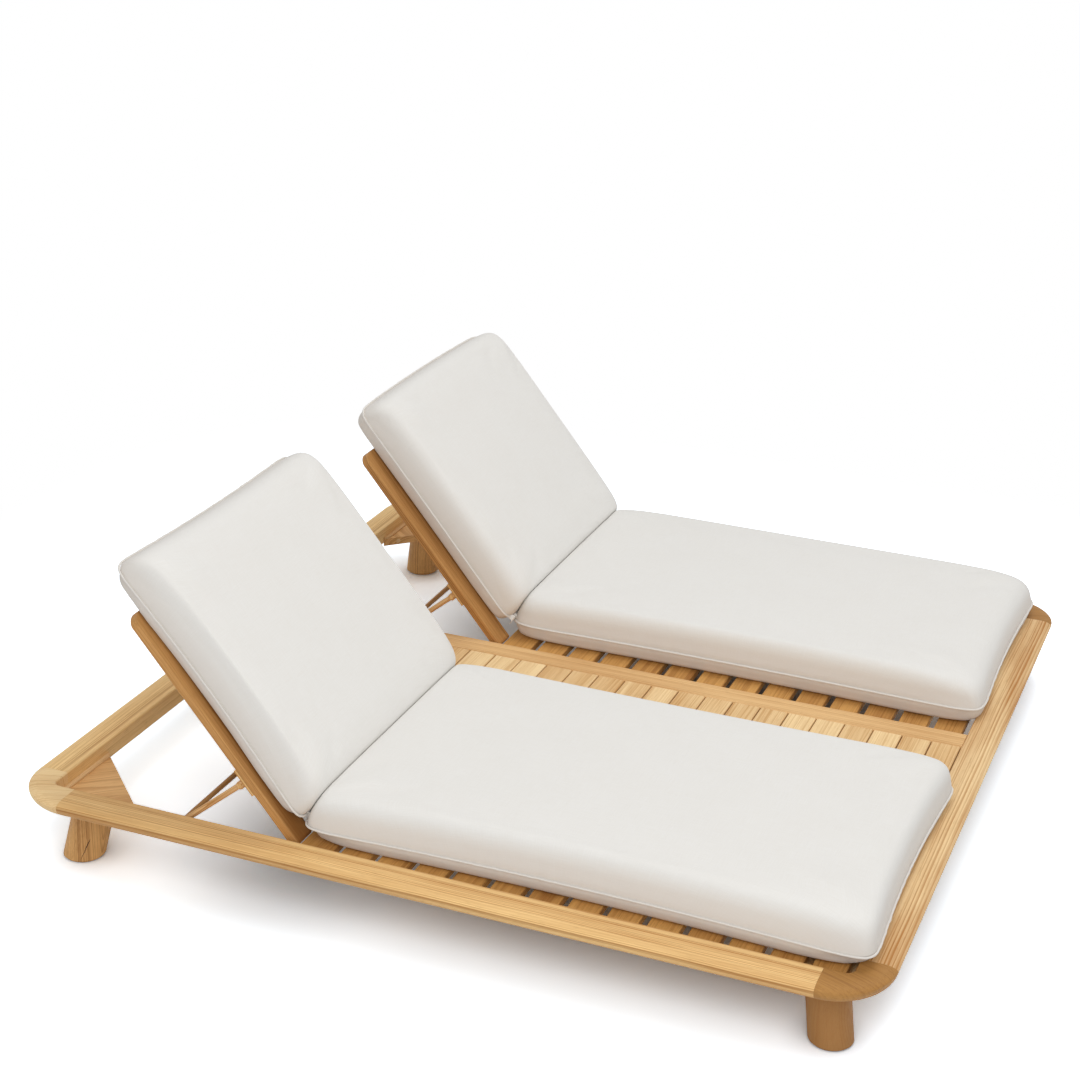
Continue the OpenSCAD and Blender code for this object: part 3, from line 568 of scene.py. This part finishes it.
# mesh from points, quads and the cloth coordinates of each point
def makePiece(name, points, faces, cloth, material):
    mesh = bpy.data.meshes.new(name)
    mesh.from_pydata(points.tolist(), [], faces.tolist())
    mesh.polygons.foreach_set("use_smooth", np.ones(len(faces), bool))
    flat = mesh.attributes.new("cloth", "FLOAT_VECTOR", "POINT")
    if cloth.shape[1] == 2:
        cloth = np.c_[cloth, np.zeros(len(points))]
    flat.data.foreach_set("vector", cloth.astype(np.float32).ravel())
    mesh.materials.append(material)
    piece = bpy.data.objects.new(name, mesh)
    scene.collection.objects.link(piece)
    return piece


def addSubdivision(piece):
    modifier = piece.modifiers.new("smooth", "SUBSURF")
    modifier.levels = modifier.render_levels = 1


# helpers for surfaces: vectors of length one, the length run along a path, level directions away
# from the middle of a ring, and the quads between neighbours on a grid of point numbers
def unit(vectors):
    return vectors / np.linalg.norm(vectors, axis=-1, keepdims=True)


def runAlong(path):
    return np.concatenate([[0], np.cumsum(np.linalg.norm(np.diff(path, axis=0), axis=1))])


def outFrom(ring):
    return unit((ring - ring.mean(0)) * [1, 1, 0])


def gridQuads(index):
    corners = [index[:-1, :-1], index[1:, :-1], index[1:, 1:], index[:-1, 1:]]
    return np.stack(corners, -1).reshape(-1, 4)


# a back's own coordinates run up the back, across it, and out in front of its mid-plane
hinge = np.array([-0.3175, 0.0, 0.1825])
upBack = np.array([-math.cos(backAngle), 0.0, math.sin(backAngle)])
outBack = np.array([math.sin(backAngle), 0.0, math.cos(backAngle)])
acrossBed = np.array([0.0, 1.0, 0.0])


def seatPlace(points, s):
    return points + np.array([s["from"], s["middle"], s["rest"]])


def backPlace(points, s):
    return (hinge + (points[:, :1] + s["from"]) * upBack
            + (points[:, 1:2] + s["middle"]) * acrossBed + (points[:, 2:] + s["rest"]) * outBack)


# measures in metres; pairs and triples go head (or hinge) end, foot (or top) end, sides.
# welt is the seam's height, base the radius of the lower edge, round the reach of the upper
# curves, full the power of those curves, and powers are those of the outline low, at the seam and
# on top. hollow draws the sides in, tuck the ends, and fade and topTuck are how much of that the
# top loses or keeps. The shares for the pipe, base, sides and top, and the rings that the share
# fades over above the seam, set how much painted shade a point takes near the seam: a darker
# beige that stands in for the shade around the welt
slatTop = 0.18125
cushionSettings = {"thick": 0.129, "groove": 0.0022, "pipe": 0.0026, "pipeRoom": 0.001,
                   "pipeOut": 0.0010, "pipeShade": 0.35, "lip": 0.001, "bandBulge": 0.0022,
                   "pucker": 0.0010, "swell": 0.010, "fade": 1.05, "lowAngles": (22, 45, 68, 90),
                   "bandShares": (0.35, 0.7), "topAngles": (10, 90, 13), "baseCloth": 1.15,
                   "paintedSeamShade": 0.75, "baseShade": 0.5, "sideShade": 0.95, "topShade": 0.85,
                   "shadeRings": 5.0}
seatSettings = {**cushionSettings, "place": "seat", "rest": slatTop, "cells": (100, 62)}
backSettings = {**cushionSettings, "place": "back", "rest": 0.0115, "cells": (54, 62)}
cushionPieces = {  # one row for each cushion, with its body and the CAD node it stands for
    "seatCushionRight": {
        **seatSettings, "body": "base", "node": "seat_cushion_right", "seed": 1,
        "from": -0.3075, "middle": -0.5583, "length": 1.2483, "width": 0.795, "welt": 0.0426,
        "round": (0.0567, 0.0429, 0.0658), "base": 0.0169, "hollow": 0.0234,
        "tuck": (0.0028, -0.0188), "crown": 0.005, "full": 2.75, "powers": (11.5, 24, 5),
        "topTuck": 0.73},
    "seatCushionLeft": {
        **seatSettings, "body": "base", "node": "seat_cushion_left", "seed": 2,
        "from": -0.313, "middle": 0.5975, "length": 1.241, "width": 0.777, "welt": 0.0478,
        "round": (0.037, 0.077, 0.050), "base": 0.0185, "hollow": 0.015,
        "tuck": (0.012, -0.0149), "crown": 0.0045, "full": 2.4, "powers": (15, 20, 5.3),
        "topTuck": 0.0},
    "backCushionRight": {
        **backSettings, "body": "cushion_right", "node": "back_cushion_right", "seed": 3,
        "from": 0.0300, "middle": -0.5653, "length": 0.6681, "width": 0.7774, "welt": 0.0383,
        "round": (0.0923, 0.0644, 0.0324), "base": 0.0136, "hollow": 0.0154,
        "tuck": (0.0045, -0.0089), "crown": 0.0056, "full": 2.467, "powers": (12, 28.7, 4.24),
        "topTuck": -0.089, "fade": 1.5},
    "backCushionLeft": {
        **backSettings, "body": "cushion_left", "node": "back_cushion_left", "seed": 4,
        "from": 0.0384, "middle": 0.5855, "length": 0.6658, "width": 0.7753, "welt": 0.043,
        "round": (0.052, 0.050, 0.0472), "base": 0.0144, "hollow": 0.0038,
        "tuck": (-0.0073, 0.0061), "crown": 0.0078, "full": 2.3, "powers": (17, 25, 5.6),
        "topTuck": 0.78}}


# outline of a ring: a direction on the unit square is drawn in to a superellipse, then scaled to
# the half length and half width left by the insets, the hollow of the sides and the tuck of the
# ends
def cushionRing(s, square, inset, power, hollow, tuck):
    a, b = square
    with np.errstate(divide="ignore", invalid="ignore"):
        reach = (np.abs(a) ** power + np.abs(b) ** power) ** (-1.0 / power)
        share = np.maximum(np.abs(a), np.abs(b))
        qx, qy = a * reach * share, b * reach * share
    qx, qy = np.nan_to_num(qx), np.nan_to_num(qy)  # the middle of the square
    end = qx > 0
    halfX = (s["length"] / 2 - np.where(end, inset[1], inset[0])
             - np.where(end, tuck[1], tuck[0]) * qy ** 2)
    halfY = s["width"] / 2 - inset[2] - hollow * (1 - qx ** 2)
    return np.stack([s["length"] / 2 + halfX * qx, halfY * qy], 1)


# the rings of a cushion's wall from the base up: a quarter circle at the lower edge, a band that
# bulges by a half sine, the groove of the seam between two lips, and a superellipse quarter that
# draws in to the top. Each row is inset, height, power, share of the hollow, share of the tuck
def cushionRings(s):
    even = np.ones(3)
    shape = np.array(s["round"])
    rim = s["thick"] - s["crown"]
    welt, room = s["welt"], s["pipe"] + s["pipeRoom"]
    lowPower, seamPower, topPower = s["powers"]
    lipPower, startPower = seamPower - 2, seamPower - 3
    rings = []
    for t in np.radians(s["lowAngles"]):
        rings.append((s["base"] * (1 - math.sin(t)) * even, s["base"] * (1 - math.cos(t)),
                      lowPower, 1, 1))
    for f in s["bandShares"]:
        bulge = -s["bandBulge"] * math.sin(math.pi * f)
        rings.append((bulge * even, s["base"] + f * (welt - room - s["base"]), lowPower, 1, 1))
    rings.append((0.0 * even, welt - room, lipPower, 1, 1))
    seamRing = len(rings)
    rings.append((s["groove"] * even, welt, seamPower, 1, 1))
    rings.append((0.0 * even, welt + room, lipPower, 1, 1))
    for t in np.radians(np.linspace(*s["topAngles"])):
        k = 1 - max(math.cos(t), 0) ** (2 / s["full"])
        rise = math.sin(t) ** (2 / s["full"])
        rings.append((s["lip"] * even + shape * k, welt + room + (rim - welt - room) * rise,
                      startPower - (startPower - topPower) * k, 1 - k * s["fade"],
                      1 + (s["topTuck"] - 1) * k))
    return rings, seamRing


# a boxed cushion: a flat base and a crowned top on a grid of cells, joined by the wall's rings.
# the crown is a product of two parabolas over the grid
def makeCushionForm(s):
    nx, ny = s["cells"]
    a, b = np.meshgrid(np.linspace(-1, 1, nx + 1), np.linspace(-1, 1, ny + 1), indexing="ij")
    flat = np.stack([a.ravel(), b.ravel()])
    i, j = np.arange(nx), np.arange(ny)
    edge = np.concatenate([i * (ny + 1), nx * (ny + 1) + j, (nx - i) * (ny + 1) + ny, ny - j])
    tucks = np.array(s["tuck"])
    rings, seamRing = cushionRings(s)
    lowPower, _, topPower = s["powers"]
    bottom = cushionRing(s, flat, s["base"] * np.ones(3), lowPower, s["hollow"], s["tuck"])
    bottom = np.c_[bottom, np.zeros(len(bottom))]
    last = rings.pop()
    top = cushionRing(s, flat, last[0], topPower, s["hollow"] * (1 - s["fade"]),
                      tucks * s["topTuck"])
    dome = s["crown"] * (1 - flat[0] ** 2) * (1 - flat[1] ** 2)
    top = np.c_[top, s["thick"] - s["crown"] + dome]
    walls = []
    for inset, height, power, hollow, tuck in rings:
        ring = cushionRing(s, flat[:, edge], inset, power, hollow * s["hollow"], tucks * tuck)
        walls.append(np.c_[ring, np.full(len(ring), height)])
    points = np.concatenate([bottom, *walls, top])
    count, cells = len(edge), len(flat[0])
    topStart = cells + count * len(walls)
    loops = np.concatenate([[edge], np.arange(cells, topStart).reshape(-1, count),
                            [topStart + edge]])
    after = np.roll(loops, -1, 1)
    sides = np.stack([loops[:-1], after[:-1], after[1:], loops[1:]], -1).reshape(-1, 4)
    lid = gridQuads(np.arange(cells).reshape(nx + 1, ny + 1))
    faces = np.concatenate([lid[:, ::-1], sides, lid + topStart])
    return points, faces, clothOver(points, loops, seamRing, cells, s), loops, seamRing


# cloth coordinates: the plan over the top, then on down the sides by their own length. The third
# is the share of painted shade near the seam, which fades over the top as a bell curve of the
# ring's number
def clothOver(points, loops, seamRing, cells, s):
    path = points[loops]
    step = np.linalg.norm(np.diff(path, axis=0), axis=2).mean(1)
    down = np.concatenate([np.cumsum(step[::-1])[::-1], [0]])
    plan = points[loops[-1], :2] - [s["length"] / 2, 0]
    half = [s["length"] / 2, s["width"] / 2]
    away = unit(plan / np.maximum(np.abs(plan) / half, 1e-9).max(1)[:, None])
    cloth = points[:, :2] - [s["length"] / 2, 0]
    # painted shade: a share on the base, a full share on the sides below the seam, a bell curve
    # above
    paintedShadeShare = np.zeros(len(points))
    paintedShadeShare[:cells] = s["baseShade"]
    for k in range(len(loops) - 1):
        cloth[loops[k]] = plan + away * down[k]
        bell = math.exp(-((k - seamRing) / s["shadeRings"]) ** 2)
        paintedShadeShare[loops[k]] = s["topShade"] * bell if k > seamRing else s["sideShade"]
    cloth[:cells] *= s["baseCloth"]
    return np.c_[cloth, paintedShadeShare * s["paintedSeamShade"]]


# each point's value drawn towards the mean of its neighbours, over and over
def evened(values, faces, rounds, pull=0.6):
    edges = np.concatenate([faces[:, pair] for pair in ([0, 1], [1, 2], [2, 3], [3, 0])])
    count = np.bincount(edges[:, 0], minlength=len(values))[:, None]
    for _ in range(rounds):
        sums = [np.bincount(edges[:, 0], values[edges[:, 1], k], len(values)) for k in range(3)]
        values = (1 - pull) * values + pull * np.stack(sums, 1) / count
    return values


# pressure swells a cushion between its seams. Each point's move is kept under a cap, its evened
# part is taken off, and the creases that are left are laid over the fitted form
swellSettings = {"pressure": 4.0, "quality": 5, "stiff": 15.0, "bend": 1.5, "frames": 20,
                 "cap": 0.016, "creases": 0.3, "evening": 60}


def simulateSwell(parts, s):
    helpers = []
    for name, points, faces, loops, seam in parts:
        mesh = bpy.data.meshes.new(name + "Trial")
        mesh.from_pydata(points.tolist(), [], faces.tolist())
        helper = bpy.data.objects.new(name + "Trial", mesh)
        scene.collection.objects.link(helper)
        pins = helper.vertex_groups.new(name="seam")
        pins.add(loops[seam].tolist(), 1.0, "REPLACE")
        cloth = helper.modifiers.new("cloth", "CLOTH")
        cloth.settings.vertex_group_mass = "seam"
        cloth.settings.use_pressure = True
        cloth.settings.uniform_pressure_force = s["pressure"]
        cloth.settings.quality = s["quality"]
        cloth.settings.effector_weights.gravity = 0.0
        cloth.settings.tension_stiffness = cloth.settings.compression_stiffness = s["stiff"]
        cloth.settings.bending_stiffness = s["bend"]
        cloth.point_cache.frame_start, cloth.point_cache.frame_end = 1, s["frames"]
        helpers.append(helper)
    for frameNumber in range(1, s["frames"] + 1):
        scene.frame_set(frameNumber)
    results = []
    depsgraph = bpy.context.evaluated_depsgraph_get()
    for helper, (name, points, faces, loops, seam) in zip(helpers, parts):
        mesh = helper.evaluated_get(depsgraph).to_mesh()
        moved = np.empty(len(points) * 3, np.float32)
        mesh.vertices.foreach_get("co", moved)
        move = moved.reshape(-1, 3) - points
        far = np.linalg.norm(move, axis=1)[:, None]
        capped = move * np.minimum(1, s["cap"] / np.maximum(far, 1e-9))
        results.append(s["creases"] * (capped - evened(capped, faces, s["evening"])))
        print("swell of", name, "mean %.4f most %.4f" % (far.mean(), far.max()))
        bpy.data.objects.remove(helper)
    scene.frame_set(1)
    return results


# what a seat cushion lies on, in the bed's frame: the slats, and the rails that it laps over.
# Points under that floor are lifted to it, and it rises between the two as an eased step that
# starts at the given place and takes the given way
floorSettings = {"slats": slatTop, "rails": 0.1935, "foot": (0.893, 0.026), "side": (0.958, 0.012)}


def liftSeat(points, f):
    foot = np.clip((points[:, 0] - f["foot"][0]) / f["foot"][1], 0, 1)
    side = np.clip((np.abs(points[:, 1]) - f["side"][0]) / f["side"][1], 0, 1)
    share = np.maximum(foot, side)
    floor = f["slats"] + (f["rails"] - f["slats"]) * share * share * (3 - 2 * share)
    points[:, 2] = np.maximum(points[:, 2], floor)
    return points


# points of a back cushion that are behind its resting plane are pushed out to it
def liftBack(points, s):
    away = (points - hinge) @ outBack
    return points + np.maximum(s["rest"] - away, 0)[:, None] * outBack


# seat and back press on each other along a plane through the hinge strip: a point's depth over
# the plane becomes the smooth maximum of that depth and nothing
contactSettings = {"through": (-0.3010, 0.0, 0.233), "lean": 0.485, "gap": 0.0003, "ease": 0.0007,
                   "reach": 0.12}


def pressTogether(points, side, c):
    away = side * np.array([math.cos(c["lean"]), 0.0, -math.sin(c["lean"])])
    depth = (points - c["through"]) @ away - c["gap"]
    soft = 0.5 * (depth + np.sqrt(depth ** 2 + 4 * c["ease"] ** 2))
    return points + np.where(np.abs(depth) < c["reach"], soft - depth, 0)[:, None] * away


# small gathers beside the seam: a sum of sines along the ring, made stronger and weaker by a few
# slow ones, moves the rings outwards. It falls off as a bell curve of the ring's number above and
# below the seam, and is held back on the seam itself
puckerSettings = {"longest": 0.09, "shortest": 0.022, "waves": 14, "level": 3.7,
                  "slowTurns": (3, 9), "slowWaves": 4, "slowLevel": 2, "slowShare": 0.4,
                  "phase": 6.28, "above": 3.0, "below": 4.0, "atSeam": 0.4}


def addPuckers(points, loops, seam, s, p):
    rng = np.random.default_rng(s["seed"])
    ring = points[loops[seam]]
    run = runAlong(ring)
    total = run[-1] + np.linalg.norm(ring[0] - ring[-1])
    angle = 2 * math.pi * run[:, None] / total
    turns = rng.integers(int(total / p["longest"]), int(total / p["shortest"]), p["waves"])
    phases = rng.uniform(0, p["phase"], p["waves"])
    waves = np.sin(angle * turns + phases).sum(1) / p["level"]
    turns = rng.integers(*p["slowTurns"], p["slowWaves"])
    phases = rng.uniform(0, p["phase"], p["slowWaves"])
    slow = np.sin(angle * turns + phases).sum(1) / p["slowLevel"]
    out = outFrom(ring)
    for k, loop in enumerate(loops):
        fall = math.exp(-((k - seam) / p["above" if k > seam else "below"]) ** 2)
        if k == seam:
            fall = p["atSeam"]
        points[loop] += out * (s["pucker"] * fall * waves * (1 + p["slowShare"] * slow))[:, None]
    return points


# a tube along a closed path: a circle carried square to the path
def makeTube(path, radius, sides=10):
    ahead = unit(np.roll(path, -1, 0) - np.roll(path, 1, 0))
    outwards = unit(np.cross(ahead, [0.0, 0.0, 1.0]))
    up = np.cross(outwards, ahead)
    turn = 2 * math.pi * np.arange(sides) / sides
    offsets = (outwards[:, None] * np.cos(turn)[None, :, None]
               + up[:, None] * np.sin(turn)[None, :, None])
    points = (path[:, None] + radius * offsets).reshape(-1, 3)
    index = np.arange(len(points)).reshape(len(path), sides)
    ring, along = np.roll(index, -1, 1), np.roll(index, -1, 0)
    faces = np.stack([index, along, np.roll(along, -1, 1), ring], -1).reshape(-1, 4)
    cloth = np.stack([np.repeat(runAlong(path), sides), np.tile(radius * turn, len(path))], 1)
    return points, faces[:, ::-1], cloth


def makeCushion(name, s, form, move):
    faces, cloth, loops, seam = form[1:]
    points = addPuckers(makeCushionForm(s)[0] + move, loops, seam, s, puckerSettings)
    points[:, 2] = np.maximum(points[:, 2], 0.0)
    path = points[loops[seam]]
    pipePath = path + s["pipeOut"] * outFrom(path)
    pipePoints, pipeFaces, pipeCloth = makeTube(pipePath, s["pipe"])
    # the piping takes a fixed share of the painted shade
    pipeCloth = np.c_[pipeCloth, np.full(len(pipeCloth), s["pipeShade"])]
    if s["place"] == "seat":
        lifted = liftSeat(seatPlace(points, s), floorSettings)
        points = pressTogether(lifted, 1, contactSettings)
        pipePoints = seatPlace(pipePoints, s)
    else:
        lifted = liftBack(backPlace(points, s), s)
        points = pressTogether(lifted, -1, contactSettings)
        pipePoints = backPlace(pipePoints, s)
    cushion = makePiece(name, points, faces, cloth, linen)
    addSubdivision(cushion)
    piping = makePiece(name.replace("Cushion", "Piping"), pipePoints, pipeFaces, pipeCloth, linen)
    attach(cushion, s["body"])
    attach(piping, s["body"])
    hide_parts(s["node"])
    print(name, "made")


# the swelling starts from a slightly thinner form, on the same grid as the fitted one
def makeCushions():
    rows = list(cushionPieces.items())
    forms = [makeCushionForm({**s, "thick": s["thick"] - s["swell"]}) for _, s in rows]
    moves = [0.0] * len(forms)
    parts = [(name, points, faces, loops, seam)
             for (name, _), (points, faces, _, loops, seam) in zip(rows, forms)]
    moves = simulateSwell(parts, swellSettings)
    for (name, s), form, move in zip(rows, forms, moves):
        makeCushion(name, s, form, move)


makeCushions()


# the gathered strip between seat and back: it follows the base at its lower edge and the back at
# its upper edge, and its spare length stands in ruffles
stripSettings = {"half": 0.374, "thick": 0.0011, "rows": 22, "columns": 420, "bow": 0.005,
                 "fold": 0.0035, "ruffles": 7, "perMetre": (120, 420), "drift": (-4, 4),
                 "phase": (0, 6.28), "level": 2.2, "endReach": 0.03, "endFold": 0.8,
                 "low": (-0.3020, 0.2225), "up": 0.0455, "out": 0.0485, "clothWide": 0.04,
                 "seed": 5, "flat": (0.0315, 0.860)}
stripPieces = [("hingeStripRight", -0.5525, "back_right", "hinge_strip_right"),
               ("hingeStripLeft", 0.5835, "back_left", "hinge_strip_left")]


# offset from the straight line between the edges = a bow plus ruffles, which are sines along the
# strip whose phase drifts across it; both are larger near the strip's ends
def makeStrip(name, middle, node, s):
    rng = np.random.default_rng(s["seed"] + (middle > 0))
    y, v = np.meshgrid(np.linspace(-s["half"], s["half"], s["columns"]),
                       np.linspace(0, 1, s["rows"]), indexing="ij")
    low = np.array([s["low"][0], 0, s["low"][1]])
    high = hinge + s["up"] * upBack + s["out"] * outBack
    line = low + (high - low) * v[..., None]
    side = np.cross(high - low, acrossBed)
    side /= np.linalg.norm(side)
    sines = [rng.uniform(*s[key], s["ruffles"]) for key in ("perMetre", "drift", "phase")]
    waves = sum(np.sin(y * f + v * d + p) for f, d, p in zip(*sines)) / s["level"]
    bell = np.exp(-((s["half"] - np.abs(y)) / s["endReach"]) ** 2)
    fold = s["fold"] * waves * (1 + s["endFold"] * bell)
    offset = np.sin(math.pi * v) * (s["bow"] * (1 + bell) + fold)
    points = line + offset[..., None] * -side
    points[..., 1] += middle + y
    faces = gridQuads(np.arange(y.size).reshape(y.shape))
    cloth = np.stack([y.ravel(), v.ravel() * s["clothWide"]], 1)
    strip = makePiece(name, points.reshape(-1, 3), faces, cloth, linen)
    wall = strip.modifiers.new("thickness", "SOLIDIFY")
    wall.thickness, wall.offset = s["thick"], 0.0
    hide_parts(node)
    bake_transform(strip)


for name, middle, body, node in stripPieces:
    makeStrip(name, middle, node, stripSettings)
print("hinge strips made")
